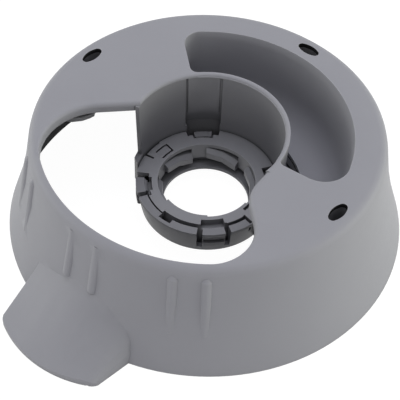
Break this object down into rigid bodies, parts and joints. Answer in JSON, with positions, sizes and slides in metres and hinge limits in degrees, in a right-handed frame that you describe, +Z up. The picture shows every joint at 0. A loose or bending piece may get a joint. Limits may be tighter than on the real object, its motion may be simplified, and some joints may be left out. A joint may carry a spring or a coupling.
{
  "type": "food processor bowl base",
  "caption": "Flared round plastic bowl base with an offset crescent opening, a central well with a snapped-in bayonet hub, a curved pocket and a lift paddle.",
  "frame": {"origin": "on the drive axis at the height of the standing rim", "axes": "+Z up along the drive axis, +Y towards the pocket side, the lift paddle points to -X -Y"},
  "size_m": [0.1958, 0.2035, 0.059],
  "materials": {
    "housing_plastic": "satin moulded",
    "frame_plastic": "satin moulded",
    "ring_plastic": "satin moulded"
  },
  "bodies": {
    "root": {"housing": "housing_plastic", "inner_frame": "frame_plastic", "bayonet_ring": "ring_plastic"}
  },
  "joints": []
}
